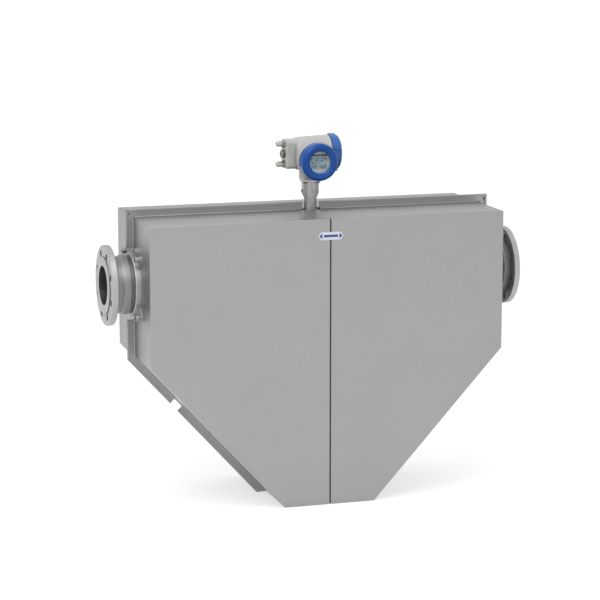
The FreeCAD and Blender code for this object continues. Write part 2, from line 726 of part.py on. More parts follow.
def support_channel():
    """The stiff channel over the tubes that joins both manifolds and carries the neck."""
    outer = SPLITTER_HALF + CHANNEL_WALL
    channel = box(-PIPE_END, PIPE_END, -outer, outer, -CHANNEL_SKIRT, CHANNEL_TOP)
    upper = [e for e in channel.Edges if abs(e.tangentAt(e.FirstParameter).x) > 0.9 and e.BoundBox.ZMin > 0]
    channel = channel.makeFillet(SPLITTER_EDGE + CHANNEL_WALL, upper)
    room = box(-PIPE_END - 1, PIPE_END + 1, -SPLITTER_HALF, SPLITTER_HALF, -CHANNEL_SKIRT - 1, SPLITTER_HALF)
    upper = [e for e in room.Edges if abs(e.tangentAt(e.FirstParameter).x) > 0.9 and e.BoundBox.ZMin > 0]
    room = room.makeFillet(SPLITTER_EDGE, upper)
    inner = NECK_RADIUS - NECK_WALL
    wire_hole = rod(inner, Vector(0, 0, SPLITTER_HALF - 1), Vector(0, 0, CHANNEL_TOP + 1))
    return channel.cut([room, wire_hole])


def station(distance):
    """The point this far down the outlet leg from its shoulder, in the middle plane."""
    shoulder_x, _ = tube_points()
    slope = math.radians(TUBE_SLOPE)
    return Vector(shoulder_x - distance * math.cos(slope), 0, -distance * math.sin(slope))


def brace_plates(tube_bars):
    """Two plates on the outlet leg that tie both tubes together and set the vibrating length."""
    half_width = TUBE_OFFSET + TUBE_RADIUS + BRACE_MARGIN
    plates = []
    for distance in BRACE_STATIONS:
        plate = box(
            -BRACE_THICKNESS / 2, BRACE_THICKNESS / 2, -half_width, half_width, -BRACE_HEIGHT / 2, BRACE_HEIGHT / 2,
        )
        lengthwise = [e for e in plate.Edges if abs(e.tangentAt(e.FirstParameter).x) > 0.9]
        plate = plate.makeFillet(BRACE_HEIGHT / 3, lengthwise)
        plate.rotate(ORIGIN, Y_AXIS, -TUBE_SLOPE)
        plate.translate(station(distance))
        plates.append(plate.cut(list(tube_bars)))
    return Part.makeCompound(plates)


def coil(place, tube_bars):
    """A coil on its holder, seated on the front tube and reaching back past the middle."""
    start = Vector(place.x, -TUBE_OFFSET + TUBE_RADIUS / 2, place.z)
    end = Vector(place.x, COIL_REACH, place.z)
    bore_start = Vector(place.x, -MAGNET_REACH - COIL_REACH, place.z)
    return rod(COIL_RADIUS, start, end).cut(rod(COIL_BORE, bore_start, end)).cut(tube_bars[0])


def magnet(place, tube_bars):
    """A magnet on its holder, seated on the rear tube and standing in the coil."""
    start = Vector(place.x, TUBE_OFFSET - TUBE_RADIUS / 2, place.z)
    base = rod(COIL_RADIUS, start, Vector(place.x, MAGNET_BASE, place.z))
    pin = rod(MAGNET_RADIUS, Vector(place.x, MAGNET_BASE, place.z), Vector(place.x, -MAGNET_REACH, place.z))
    return base.fuse(pin).cut(tube_bars[1]).removeSplitter()


def temperature_sensor(tube_bars):
    """A small sensor block seated on the front of the front tube's outlet leg."""
    block = box(
        -SENSOR_SIZE, SENSOR_SIZE, -SENSOR_SIZE, TUBE_RADIUS / 2, -SENSOR_SIZE / 2, SENSOR_SIZE / 2,
    )
    block.rotate(ORIGIN, Y_AXIS, -TUBE_SLOPE)
    block.translate(station(sum(BRACE_STATIONS)))
    block.translate(Vector(0, -TUBE_OFFSET - TUBE_RADIUS, 0))
    return block.cut(tube_bars[0])


def wiring_board():
    """The board on the channel that gathers the sensor wires, with its row of terminals and standoffs."""
    x0 = NECK_RADIUS + BOARD_STANDOFF
    z0 = CHANNEL_TOP + BOARD_STANDOFF
    half = BOARD_WIDTH / 2
    board = box(x0, x0 + BOARD_LENGTH, -half, half, z0, z0 + BOARD_THICKNESS)
    row = box(
        x0 + BOARD_ROW_INSET, x0 + BOARD_LENGTH - BOARD_ROW_INSET,
        -BOARD_ROW_WIDTH / 2, BOARD_ROW_WIDTH / 2, z0 + BOARD_THICKNESS, z0 + BOARD_ROW_HEIGHT,
    )
    standoffs = [
        rod(BOARD_POST_RADIUS, Vector(x, y, CHANNEL_TOP), Vector(x, y, z0))
        for x in (x0 + BOARD_POST_INSET, x0 + BOARD_LENGTH - BOARD_POST_INSET)
        for y in (BOARD_POST_INSET - half, half - BOARD_POST_INSET)
    ]
    return board.multiFuse([row] + standoffs).removeSplitter()


# Neck

def neck_tube():
    """The tube that carries the converter, standing on the channel."""
    foot = Vector(0, 0, CHANNEL_TOP)
    head = Vector(0, 0, NECK_TOP)
    return rod(NECK_RADIUS, foot, head).cut(rod(NECK_RADIUS - NECK_WALL, foot, head))


def neck_sleeve():
    """The flat ring that closes the casing's hole round the neck."""
    foot = Vector(0, 0, CASING_TOP)
    head = foot + Z_AXIS * NECK_SLEEVE_HEIGHT
    return rod(NECK_SLEEVE_RADIUS, foot, head).cut(rod(NECK_RADIUS, foot, head))


def gusset(side):
    """The broad web on one side of the adapter's socket, which flares out under the plate."""
    points = [
        (0, GUSSET_FOOT),
        (side * (NECK_RADIUS + TURN_GAP + ADAPTER_WALL), GUSSET_FOOT),
        (side * GUSSET_REACH, GUSSET_SHOULDER),
        (side * GUSSET_REACH, ADAPTER_PLATE_BOTTOM - GUSSET_FLARE_HEIGHT),
        (side * (GUSSET_REACH + GUSSET_FLARE), ADAPTER_PLATE_BOTTOM),
        (0, ADAPTER_PLATE_BOTTOM),
    ]
    return prism(points, -GUSSET_WIDTH / 2, GUSSET_WIDTH / 2)


def thin_webs():
    """The narrow webs at the front and back of the adapter's socket."""
    outer = NECK_RADIUS + TURN_GAP + ADAPTER_WALL
    points = [
        (-outer, WEB_FOOT),
        (outer, WEB_FOOT),
        (WEB_REACH, WEB_SHOULDER),
        (WEB_REACH, ADAPTER_PLATE_BOTTOM),
        (-WEB_REACH, ADAPTER_PLATE_BOTTOM),
        (-WEB_REACH, WEB_SHOULDER),
    ]
    return prism(points, -WEB_WIDTH / 2, WEB_WIDTH / 2).rotated(ORIGIN, Z_AXIS, 90)


def neck_adapter():
    """The casting between neck and housing: a round socket with four webs under a plate with a spigot."""
    outer = NECK_RADIUS + TURN_GAP + ADAPTER_WALL
    barrel = rod(outer, Vector(0, 0, ADAPTER_BOTTOM), Vector(0, 0, ADAPTER_PLATE_BOTTOM))
    plate = rounded_block(PLATE_LENGTH, PLATE_WIDTH, ADAPTER_PLATE_BOTTOM, ADAPTER_TOP, PLATE_CORNER)
    spigot = rod(SPIGOT_RADIUS, Vector(0, 0, ADAPTER_TOP), Vector(0, 0, ADAPTER_TOP + SPIGOT_HEIGHT))
    socket = rod(
        NECK_RADIUS + TURN_GAP, Vector(0, 0, ADAPTER_BOTTOM - 1), Vector(0, 0, NECK_TOP + TURN_GAP),
    )
    wire_hole = rod(WIRE_HOLE_RADIUS, Vector(0, 0, NECK_TOP), Vector(0, 0, ADAPTER_TOP + SPIGOT_HEIGHT + 1))
    cuts = [socket, wire_hole, lock_screw_hole()]
    for centre in adapter_screw_centres():
        seat = centre + Vector(0, 0, ADAPTER_PLATE_BOTTOM)
        cuts.append(rod(ADAPTER_SCREW_RADIUS, seat, centre + Vector(0, 0, ADAPTER_TOP + 1)))
    return barrel.multiFuse([gusset(-1), gusset(1), thin_webs(), plate, spigot]).cut(cuts).removeSplitter()


def adapter_screw_centres():
    """The four corner screws of the plate."""
    x = PLATE_LENGTH / 2 - ADAPTER_SCREW_INSET
    y = PLATE_WIDTH / 2 - ADAPTER_SCREW_INSET
    return [Vector(i * x, j * y, 0) for i in (-1, 1) for j in (-1, 1)]


def adapter_screws():
    """Four screws from below that hold the housing on the plate."""
    screws = []
    for centre in adapter_screw_centres():
        seat = centre + Vector(0, 0, ADAPTER_PLATE_BOTTOM)
        tip = centre + Vector(0, 0, ADAPTER_TOP + ADAPTER_SCREW_DEPTH)
        head = rod(ADAPTER_SCREW_HEAD, seat - Z_AXIS * ADAPTER_SCREW_HEAD_HEIGHT, seat)
        screws.append(head.fuse(rod(ADAPTER_SCREW_RADIUS, seat, tip)).removeSplitter())
    return Part.makeCompound(screws)


def lock_screw_hole():
    """The threaded hole of the screw that locks the head on the neck."""
    return rod(LOCK_SCREW_RADIUS, Vector(-PLATE_LENGTH, 0, LOCK_SCREW_Z), Vector(0, 0, LOCK_SCREW_Z))


def neck_lock_screw():
    """The screw in the adapter's left gusset that locks the head where it is turned."""
    tip = Vector(-NECK_RADIUS - TURN_GAP, 0, LOCK_SCREW_Z)
    seat = Vector(-GUSSET_REACH, 0, LOCK_SCREW_Z)
    head_end = seat - X_AXIS * LOCK_SCREW_HEAD_LENGTH
    key = hexagon(LOCK_SCREW_KEY, head_end + X_AXIS * LOCK_SCREW_KEY_DEPTH, head_end)
    screw = rod(LOCK_SCREW_RADIUS, tip, seat).fuse(rod(LOCK_SCREW_HEAD, seat, head_end))
    return screw.cut(key).removeSplitter()


# Converter

def housing():
    """The cast housing: a lying round body, a cable block on its left, a drum for the display and a neck block."""
    bend = BODY_END_ROUND * (1 - math.sqrt(0.5))
    body_profile = [
        (0, 0),
        (0, BODY_LEFT_RADIUS - BODY_END_ROUND),
        (bend, BODY_LEFT_RADIUS - bend, "arc"),
        (BODY_END_ROUND, BODY_LEFT_RADIUS),
        (BODY_RIGHT - BODY_LEFT - BODY_CHAMFER, BODY_RIGHT_RADIUS),
        (BODY_RIGHT - BODY_LEFT, BODY_RIGHT_RADIUS - BODY_CHAMFER),
        (BODY_RIGHT - BODY_LEFT, 0),
    ]
    body = turned(body_profile, Vector(BODY_LEFT, 0, BODY_AXIS_Z), X_AXIS)
    half_depth = BLOCK_DEPTH / 2
    half_height = BLOCK_HEIGHT / 2
    block = box(
        BLOCK_LEFT, 0, -half_depth, half_depth, BODY_AXIS_Z - half_height, BODY_AXIS_Z + half_height,
    )
    lengthwise = [e for e in block.Edges if abs(e.tangentAt(e.FirstParameter).x) > 0.9]
    block = block.makeFillet(BLOCK_EDGE, lengthwise)
    left_edges = [e for e in block.Edges if abs(e.BoundBox.XMax - BLOCK_LEFT) < 0.01]
    block = block.makeFillet(BLOCK_END_ROUND, left_edges)
    display_centre = Vector(0, 0, DISPLAY_AXIS_Z)
    drum_profile = [
        (0, 0),
        (0, DRUM_RADIUS),
        (COLLAR_FACE - DRUM_COLLAR_LENGTH, DRUM_RADIUS),
        (COLLAR_FACE - DRUM_COLLAR_LENGTH, DRUM_COLLAR_RADIUS - DRUM_COLLAR_CHAMFER),
        (COLLAR_FACE - DRUM_COLLAR_LENGTH + DRUM_COLLAR_CHAMFER, DRUM_COLLAR_RADIUS),
        (COLLAR_FACE, DRUM_COLLAR_RADIUS),
        (COLLAR_FACE, SPIGOT_THREAD_RADIUS),
        (COLLAR_FACE + SPIGOT_THREAD_LENGTH, SPIGOT_THREAD_RADIUS),
        (COLLAR_FACE + SPIGOT_THREAD_LENGTH, 0),
    ]
    body_end = Vector(BODY_RIGHT, 0, BODY_AXIS_Z)
    cap_room = rod(CAP_RADIUS + CAP_RIB_HEIGHT + CAP_CLEARANCE, body_end, body_end + X_AXIS * CAP_LENGTH)
    drum = turned(drum_profile, display_centre, -Y_AXIS).cut(cap_room)
    neck = rounded_block(
        PLATE_LENGTH + 2 * NECK_BLOCK_MARGIN, PLATE_WIDTH + 2 * NECK_BLOCK_MARGIN,
        ADAPTER_TOP, DISPLAY_AXIS_Z, PLATE_CORNER + NECK_BLOCK_MARGIN,
    )
    right_spigot = rod(
        SPIGOT_THREAD_RADIUS,
        Vector(BODY_RIGHT - 1, 0, BODY_AXIS_Z),
        Vector(BODY_RIGHT + SPIGOT_THREAD_LENGTH, 0, BODY_AXIS_Z),
    )
    shell = body.multiFuse([block, drum, neck, right_spigot])
    return shell.cut(housing_cavities()).removeSplitter()


def housing_cavities():
    """The hollows of the housing: display room, electronics room, cable room, neck passage and threaded holes."""
    display_room = rod(
        DISPLAY_BORE,
        Vector(0, -DISPLAY_FLOOR, DISPLAY_AXIS_Z),
        Vector(0, -COLLAR_FACE - SPIGOT_THREAD_LENGTH - 1, DISPLAY_AXIS_Z),
    )
    axis_point = Vector(0, 0, BODY_AXIS_Z)
    main_room = rod(
        DISPLAY_BORE,
        axis_point + X_AXIS * INSERT_SEAT,
        axis_point + X_AXIS * (BODY_RIGHT + SPIGOT_THREAD_LENGTH + 1),
    )
    back_room = rod(
        DISPLAY_BORE - HOUSING_WALL,
        axis_point + X_AXIS * (BODY_LEFT + HOUSING_WALL),
        axis_point + X_AXIS * (INSERT_SEAT + 1),
    )
    half_depth = BLOCK_DEPTH / 2 - HOUSING_WALL
    half_height = BLOCK_HEIGHT / 2 - HOUSING_WALL
    cable_room = box(
        BLOCK_LEFT + HOUSING_WALL, BODY_LEFT + 2 * HOUSING_WALL,
        -half_depth, half_depth, BODY_AXIS_Z - half_height, BODY_AXIS_Z + half_height,
    )
    lengthwise = [e for e in cable_room.Edges if abs(e.tangentAt(e.FirstParameter).x) > 0.9]
    cable_room = cable_room.makeFillet(BLOCK_EDGE - HOUSING_WALL, lengthwise)
    passage = rod(WIRE_HOLE_RADIUS, Vector(0, 0, ADAPTER_TOP - 1), axis_point)
    socket = rod(
        SPIGOT_RADIUS, Vector(0, 0, ADAPTER_TOP - 1), Vector(0, 0, ADAPTER_TOP + SPIGOT_HEIGHT),
    )
    cuts = [display_room, main_room, back_room, cable_room, passage, socket]
    for z in ENTRY_HEIGHTS + (BODY_AXIS_Z,):
        wall = Vector(BLOCK_LEFT, 0, z)
        cuts.append(rod(ENTRY_THREAD_RADIUS, wall - X_AXIS, wall + X_AXIS * 2 * HOUSING_WALL))
    for centre in adapter_screw_centres():
        foot = centre + Vector(0, 0, ADAPTER_TOP - 1)
        cuts.append(rod(ADAPTER_SCREW_RADIUS, foot, centre + Vector(0, 0, ADAPTER_TOP + ADAPTER_SCREW_DEPTH)))
    return cuts


def electronics_module():
    """The closed module on the floor of the display room."""
    floor = Vector(0, -DISPLAY_FLOOR, DISPLAY_AXIS_Z)
    top = Vector(0, -COLLAR_FACE - SPIGOT_THREAD_LENGTH + MODULE_DEPTH, DISPLAY_AXIS_Z)
    return rod(DISPLAY_BORE - THREAD_GAP, floor, top)


def screen_box(depth_from, depth_to):
    """The screen's outline between two depths."""
    z = DISPLAY_AXIS_Z - SCREEN_DROP
    half_width = SCREEN_WIDTH / 2
    half_height = SCREEN_HEIGHT / 2
    return box(-half_width, half_width, -depth_to, -depth_from, z - half_height, z + half_height)


def display_module():
    """The round display carrier with a recess for the screen."""
    back = Vector(0, -COLLAR_FACE - SPIGOT_THREAD_LENGTH + MODULE_DEPTH, DISPLAY_AXIS_Z)
    front = COLLAR_FACE + MODULE_FACE + THREAD_PITCH
    plate = rod(DISPLAY_BORE - THREAD_GAP, back, Vector(0, -front, DISPLAY_AXIS_Z))
    return plate.cut(screen_box(front - 2 * SCREEN_THICKNESS, front + 1))


def display_screen():
    """The liquid crystal screen in its recess."""
    front = COLLAR_FACE + MODULE_FACE + THREAD_PITCH
    return screen_box(front - 2 * SCREEN_THICKNESS, front - SCREEN_THICKNESS)


def o_ring(centre, axis, inner_radius):
    """A seal ring that lies against a shoulder at its centre point."""
    return Part.makeTorus(inner_radius + SEAL_RADIUS, SEAL_RADIUS, centre + axis * SEAL_RADIUS, axis)


def display_ring():
    """The screwed display cover: a rounded ring with a thread skirt, a window and a seat for the glass."""
    start = COLLAR_FACE + RING_SEAM
    crest = COLLAR_FACE + RING_DEPTH
    thread = SPIGOT_THREAD_RADIUS + THREAD_GAP
    seal_top = COLLAR_FACE + 2 * SEAL_RADIUS + SEAL_ROOM
    seal_outer = SPIGOT_THREAD_RADIUS + 2 * SEAL_RADIUS + SEAL_ROOM
    shoulder = COLLAR_FACE + SPIGOT_THREAD_LENGTH + THREAD_PITCH + 2 * THREAD_GAP
    window_front = crest - WINDOW_RECESS
    glass_front = window_front - WINDOW_LIP
    glass_side = GLASS_RADIUS + THREAD_GAP
    quarter = RING_ROUND * (1 - math.sqrt(0.5))
    across = (RING_RADIUS - RING_CREST_RADIUS) * (1 - math.sqrt(0.5))
    profile = [
        (start, seal_outer),
        (start, RING_RADIUS - RING_CHAMFER),
        (start + RING_CHAMFER, RING_RADIUS - RING_DRAFT),
        ((start + crest - RING_ROUND) / 2, RING_RADIUS + RING_DRAFT, "arc"),
        (crest - RING_ROUND, RING_RADIUS),
        (crest - quarter, RING_RADIUS - across, "arc"),
        (crest, RING_CREST_RADIUS),
        (crest - RING_STEP_DEPTH, RING_STEP_RADIUS),
        (crest - RING_STEP_DEPTH, RING_LAND_RADIUS),
        (window_front, WINDOW_RADIUS),
        (glass_front, WINDOW_RADIUS),
        (glass_front, glass_side),
        (glass_front - GLASS_THICKNESS, glass_side),
        (shoulder, glass_side + GLASS_SEAT_TAPER),
        (shoulder, thread),
        (seal_top, thread),
        (seal_top, seal_outer),
    ]
    return turned(profile, Vector(0, 0, DISPLAY_AXIS_Z), -Y_AXIS)


def display_glass():
    """The window glass, held in the cover's seat."""
    back = Vector(0, -GLASS_BACK, DISPLAY_AXIS_Z)
    return rod(GLASS_RADIUS, back, back - Y_AXIS * GLASS_THICKNESS)


def display_cover_seal():
    """The seal ring at the root of the display thread."""
    return o_ring(Vector(0, -COLLAR_FACE, DISPLAY_AXIS_Z), -Y_AXIS, SPIGOT_THREAD_RADIUS)


def terminal_cover():
    """The screwed side cap, with a rounded rim and four grip ribs."""
    start = BODY_RIGHT + CAP_SEAM
    end = BODY_RIGHT + CAP_LENGTH
    thread = SPIGOT_THREAD_RADIUS + THREAD_GAP
    seal_end = BODY_RIGHT + 2 * SEAL_RADIUS + 2 * THREAD_GAP
    seal_outer = SPIGOT_THREAD_RADIUS + 2 * SEAL_RADIUS + 3 * THREAD_GAP
    bend = CAP_ROUND * (1 - math.sqrt(0.5))
    profile = [
        (start, seal_outer),
        (start, CAP_RADIUS - CAP_CHAMFER),
        (start + CAP_CHAMFER, CAP_RADIUS),
        (end - CAP_ROUND, CAP_RADIUS),
        (end - bend, CAP_RADIUS - bend, "arc"),
        (end, CAP_RADIUS - CAP_ROUND),
        (end, 0),
        (end - CAP_WALL, 0),
        (end - CAP_WALL, CAP_RADIUS - CAP_ROUND - CAP_WALL),
        (end - CAP_WALL - CAP_ROUND / 2, thread),
        (seal_end, thread),
        (seal_end, seal_outer),
    ]
    cap = turned(profile, Vector(0, 0, BODY_AXIS_Z), X_AXIS)
    ribs = []
    for i in range(CAP_RIB_COUNT):
        rib = box(
            start + CAP_RIB_INSET, end - CAP_ROUND / 2, -CAP_RIB_WIDTH / 2, CAP_RIB_WIDTH / 2,
            CAP_RADIUS - CAP_RIB_ROOT, CAP_RADIUS + CAP_RIB_HEIGHT,
        )
        outer = [e for e in rib.Edges if e.BoundBox.ZMin > CAP_RADIUS and e.BoundBox.XLength > 1]
        rib = rib.makeFillet(CAP_RIB_ROUND, outer)
        rib.rotate(ORIGIN, X_AXIS, 90 - CAP_RIB_TILT + i * 360 / CAP_RIB_COUNT)
        rib.translate(Vector(0, 0, BODY_AXIS_Z))
        ribs.append(rib)
    return cap.multiFuse(ribs).removeSplitter()


def terminal_cover_seal():
    """The seal ring that rides in the side cap."""
    face = Vector(BODY_RIGHT + THREAD_GAP, 0, BODY_AXIS_Z)
    return o_ring(face, X_AXIS, SPIGOT_THREAD_RADIUS + THREAD_GAP)


def electronics_insert():
    """The round electronics insert in the main room, against its shoulder."""
    seat = Vector(INSERT_SEAT, 0, BODY_AXIS_Z)
    return rod(DISPLAY_BORE - THREAD_GAP, seat, seat + X_AXIS * INSERT_LENGTH)


def terminal_strip():
    """The row of cable terminals on the insert, with one screw well in each pole."""
    face = INSERT_SEAT + INSERT_LENGTH
    half = STRIP_WIDTH / 2
    bottom = BODY_AXIS_Z - STRIP_HEIGHT / 2
    strip = box(face, face + STRIP_DEPTH, -half, half, bottom, bottom + STRIP_HEIGHT)
    pole = STRIP_HEIGHT / STRIP_POLES
    wells = [
        rod(
            pole * 0.3,
            Vector(face + STRIP_DEPTH / 2, 0, bottom + pole * (i + 0.5)),
            Vector(face + STRIP_DEPTH + 1, 0, bottom + pole * (i + 0.5)),
        )
        for i in range(STRIP_POLES)
    ]
    return strip.cut(wells)


# Cable glands and plug, all pointing along -X from the block's left wall

def gland_body(z):
    """The gland's body: a thread in the wall, a hexagon and a stem for the nut, with a bore right through."""
    wall = Vector(BLOCK_LEFT, 0, z)
    hex_end = wall - X_AXIS * GLAND_HEX_LENGTH
    stem_end = hex_end - X_AXIS * GLAND_STEM_LENGTH
    thread_end = wall + X_AXIS * ENTRY_THREAD_LENGTH
    body = hexagon(GLAND_FLATS, hex_end, wall)
    body = body.fuse(rod(ENTRY_THREAD_RADIUS, wall, thread_end)).fuse(rod(GLAND_STEM_RADIUS, hex_end, stem_end))
    cup = rod(GLAND_CUP_RADIUS, stem_end, stem_end + X_AXIS * GLAND_CUP_DEPTH)
    return body.cut([rod(GLAND_BORE, thread_end, stem_end), cup]).removeSplitter()


def gland_seal(z):
    """The rubber insert that grips the cable inside the stem."""
    stem_end = BLOCK_LEFT - GLAND_HEX_LENGTH - GLAND_STEM_LENGTH
    inner = Vector(stem_end + GLAND_CUP_DEPTH - THREAD_GAP, 0, z)
    outer = inner - X_AXIS * GLAND_SEAL_LENGTH
    return rod(GLAND_SEAL_RADIUS, inner, outer).cut(rod(GLAND_BORE, inner, outer))


def gland_nut(z):
    """The domed nut over the stem, with grip ribs and the cable's hole."""
    start = GLAND_HEX_LENGTH + THREAD_GAP
    end = start + GLAND_NUT_LENGTH
    thread = GLAND_STEM_RADIUS + THREAD_GAP
    inside = GLAND_HEX_LENGTH + GLAND_STEM_LENGTH + GLAND_SEAL_LENGTH - GLAND_CUP_DEPTH + 2 * THREAD_GAP
    bend = GLAND_NUT_ROUND * (1 - math.sqrt(0.5))
    profile = [
        (start, thread),
        (start, GLAND_NUT_RADIUS),
        (end - GLAND_NUT_ROUND, GLAND_NUT_RADIUS),
        (end - bend, GLAND_NUT_RADIUS - bend, "arc"),
        (end, GLAND_NUT_RADIUS - GLAND_NUT_ROUND),
        (end, GLAND_BORE),
        (inside, GLAND_BORE),
        (inside, thread),
    ]
    nut = turned(profile, Vector(BLOCK_LEFT, 0, z), -X_AXIS)
    grooves = []
    for i in range(GLAND_NUT_RIBS):
        turn = math.radians(360 * (i + 0.5) / GLAND_NUT_RIBS)
        reach = GLAND_NUT_RADIUS + GLAND_GROOVE_OUT
        centre = Vector(0, reach * math.cos(turn), z + reach * math.sin(turn))
        grooves.append(rod(
            GLAND_GROOVE_RADIUS,
            centre + Vector(BLOCK_LEFT - start + 1, 0, 0),
            centre + Vector(BLOCK_LEFT - end + GLAND_NUT_ROUND, 0, 0),
        ))
    return nut.cut(grooves)


def blind_plug():
    """The plug in the middle cable entry, with a hexagon socket."""
    wall = Vector(BLOCK_LEFT, 0, BODY_AXIS_Z)
    seat = wall - X_AXIS * (PLUG_SEAL_WIDTH + 2 * THREAD_GAP)
    end = seat - X_AXIS * PLUG_HEAD_LENGTH
    head = rod(PLUG_HEAD_RADIUS, seat, end)
    head = head.makeFillet(PLUG_HEAD_ROUND, [e for e in head.Edges if abs(e.BoundBox.XMax - end.x) < 0.01])
    thread = rod(ENTRY_THREAD_RADIUS - THREAD_GAP, seat, wall + X_AXIS * ENTRY_THREAD_LENGTH)
    key = hexagon(PLUG_KEY_FLATS, end, end + X_AXIS * PLUG_KEY_DEPTH)
    return head.fuse(thread).cut(key).removeSplitter()


def blind_plug_seal():
    """The flat seal under the plug's head."""
    start = Vector(BLOCK_LEFT - THREAD_GAP, 0, BODY_AXIS_Z)
    end = start - X_AXIS * PLUG_SEAL_WIDTH
    inner = ENTRY_THREAD_RADIUS + THREAD_GAP
    return rod(PLUG_HEAD_RADIUS - PLUG_SEAL_INSET, start, end).cut(rod(inner, start, end))


def build_nodes():
    """Every piece of the meter, by name."""
    tube_bars = [swept(-TUBE_OFFSET, TUBE_RADIUS), swept(TUBE_OFFSET, TUBE_RADIUS)]
    tube_holes = [swept(-TUBE_OFFSET, TUBE_RADIUS - TUBE_WALL), swept(TUBE_OFFSET, TUBE_RADIUS - TUBE_WALL)]
    half = front_half()
    outlet_flange = pipe_end()
    outlet_collar = collar()
    outlet_screws = collar_screws()
    outlet_nuts = collar_nuts()
    outlet_splitter = splitter(tube_bars)
    outlet_braces = brace_plates(tube_bars)
    upper, lower = ENTRY_HEIGHTS
    _, bottom_z = tube_points()
    slope = math.radians(TUBE_SLOPE)
    drive_place = Vector(0, 0, bottom_z + BOTTOM_RADIUS / math.cos(slope) - BOTTOM_RADIUS)
    outlet_place = station(PICKOFF_STATION)
    inlet_place = Vector(-outlet_place.x, 0, outlet_place.z)
    return {
        "front_left_cover": front_cover(-1, half),
        "front_right_cover": front_cover(1, half),
        "rear_cover": rear_cover(),
        "seam_strip": seam_strip(),
        "badge_plate": badge(),
        "inlet_flange": facing_left(outlet_flange),
        "outlet_flange": outlet_flange,
        "inlet_collar": facing_left(outlet_collar),
        "outlet_collar": outlet_collar,
        "inlet_collar_screws": facing_left(outlet_screws),
        "outlet_collar_screws": outlet_screws,
        "inlet_collar_nuts": facing_left(outlet_nuts),
        "outlet_collar_nuts": outlet_nuts,
        "inlet_splitter": facing_left(outlet_splitter),
        "outlet_splitter": outlet_splitter,
        "front_measuring_tube": tube_bars[0].cut(tube_holes[0]),
        "rear_measuring_tube": tube_bars[1].cut(tube_holes[1]),
        "inlet_brace_plates": facing_left(outlet_braces),
        "outlet_brace_plates": outlet_braces,
        "support_channel": support_channel(),
        "drive_coil": coil(drive_place, tube_bars),
        "drive_magnet": magnet(drive_place, tube_bars),
        "inlet_pickoff_coil": coil(inlet_place, tube_bars),
        "inlet_pickoff_magnet": magnet(inlet_place, tube_bars),
        "outlet_pickoff_coil": coil(outlet_place, tube_bars),
        "outlet_pickoff_magnet": magnet(outlet_place, tube_bars),
        "temperature_sensor": temperature_sensor(tube_bars),
        "wiring_board": wiring_board(),
        "neck_tube": neck_tube(),
        "neck_sleeve": neck_sleeve(),
        "neck_adapter": neck_adapter(),
        "neck_adapter_screws": adapter_screws(),
        "neck_lock_screw": neck_lock_screw(),
        "converter_housing": housing(),
        "electronics_module": electronics_module(),
        "display_module": display_module(),
        "display_screen": display_screen(),
        "display_cover_ring": display_ring(),
        "display_glass": display_glass(),
        "display_cover_seal": display_cover_seal(),
        "terminal_cover": terminal_cover(),
        "terminal_cover_seal": terminal_cover_seal(),
        "electronics_insert": electronics_insert(),
        "terminal_strip": terminal_strip(),
        "upper_gland_body": gland_body(upper),
        "upper_gland_seal": gland_seal(upper),
        "upper_gland_nut": gland_nut(upper),
        "lower_gland_body": gland_body(lower),
        "lower_gland_seal": gland_seal(lower),
        "lower_gland_nut": gland_nut(lower),
        "blind_plug": blind_plug(),
        "blind_plug_seal": blind_plug_seal(),
    }


os.makedirs("parts", exist_ok=True)
for name, shape in build_nodes().items():
    placed = shape.translated(Vector(HALF_LENGTH, 0, 0))
    placed.exportStep("parts/" + name + ".step")
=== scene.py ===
# The looks of a coriolis flow meter with its signal converter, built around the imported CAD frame.
# Metres, in the row frame: the origin is the centre of the inlet flange's raised face, X runs along the
# flow, Z is up and the display faces -Y.
import bpy, bmesh, math
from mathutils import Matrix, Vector


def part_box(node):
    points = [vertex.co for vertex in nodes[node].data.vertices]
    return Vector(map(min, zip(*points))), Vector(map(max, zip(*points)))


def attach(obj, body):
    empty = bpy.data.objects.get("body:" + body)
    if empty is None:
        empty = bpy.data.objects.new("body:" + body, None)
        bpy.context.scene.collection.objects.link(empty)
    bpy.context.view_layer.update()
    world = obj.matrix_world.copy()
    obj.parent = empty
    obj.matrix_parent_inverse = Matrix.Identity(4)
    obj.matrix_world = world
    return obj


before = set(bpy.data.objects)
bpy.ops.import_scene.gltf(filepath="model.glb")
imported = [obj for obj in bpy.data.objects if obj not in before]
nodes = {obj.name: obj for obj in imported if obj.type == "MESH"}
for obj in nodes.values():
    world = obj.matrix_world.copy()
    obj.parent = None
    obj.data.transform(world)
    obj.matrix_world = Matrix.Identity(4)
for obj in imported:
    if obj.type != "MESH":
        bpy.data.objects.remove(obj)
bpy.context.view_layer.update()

MM = 0.001
MIDDLE_X = 589.5 * MM
FLOOR_Z = -613.5 * MM            # half a millimetre under the meter's base
DISPLAY_Z = 325 * MM             # the middle of the display's window
BORE_RADIUS = 54 * MM            # inside this the pipe's wall is painted dark as shade
BORE_EDGE = (BORE_RADIUS - 0.4 * MM, BORE_RADIUS + 0.2 * MM)
UP_GRAIN = (1, 1, 0.03)          # brushed up and down
ALONG_GRAIN = (0.05, 1, 1)       # brushed along the flow
# the dark grey-brown that painted shade goes towards in corners, recesses and the bore
PAINTED_SHADE_TONE = (0.035, 0.034, 0.033)
WHITE = (1.0, 1.0, 1.0)
PHOTO_WIDTH = 600                # pixels


# Node helpers

def new_material(name):
    """An empty material with its output: (material, node tree, output)."""
    material = bpy.data.materials.new(name)
    material.use_nodes = True
    tree = material.node_tree
    tree.nodes.clear()
    return material, tree, tree.nodes.new("ShaderNodeOutputMaterial")


def node(tree, kind, inputs=None, **settings):
    """A node with its settings and inputs; an input may be a value or another node's socket."""
    made = tree.nodes.new(kind)
    for key, value in settings.items():
        setattr(made, key, value)
    for key, value in (inputs or {}).items():
        socket = made.inputs[key]
        if isinstance(value, bpy.types.NodeSocket):
            tree.links.new(value, socket)
        else:
            socket.default_value = value
    return made


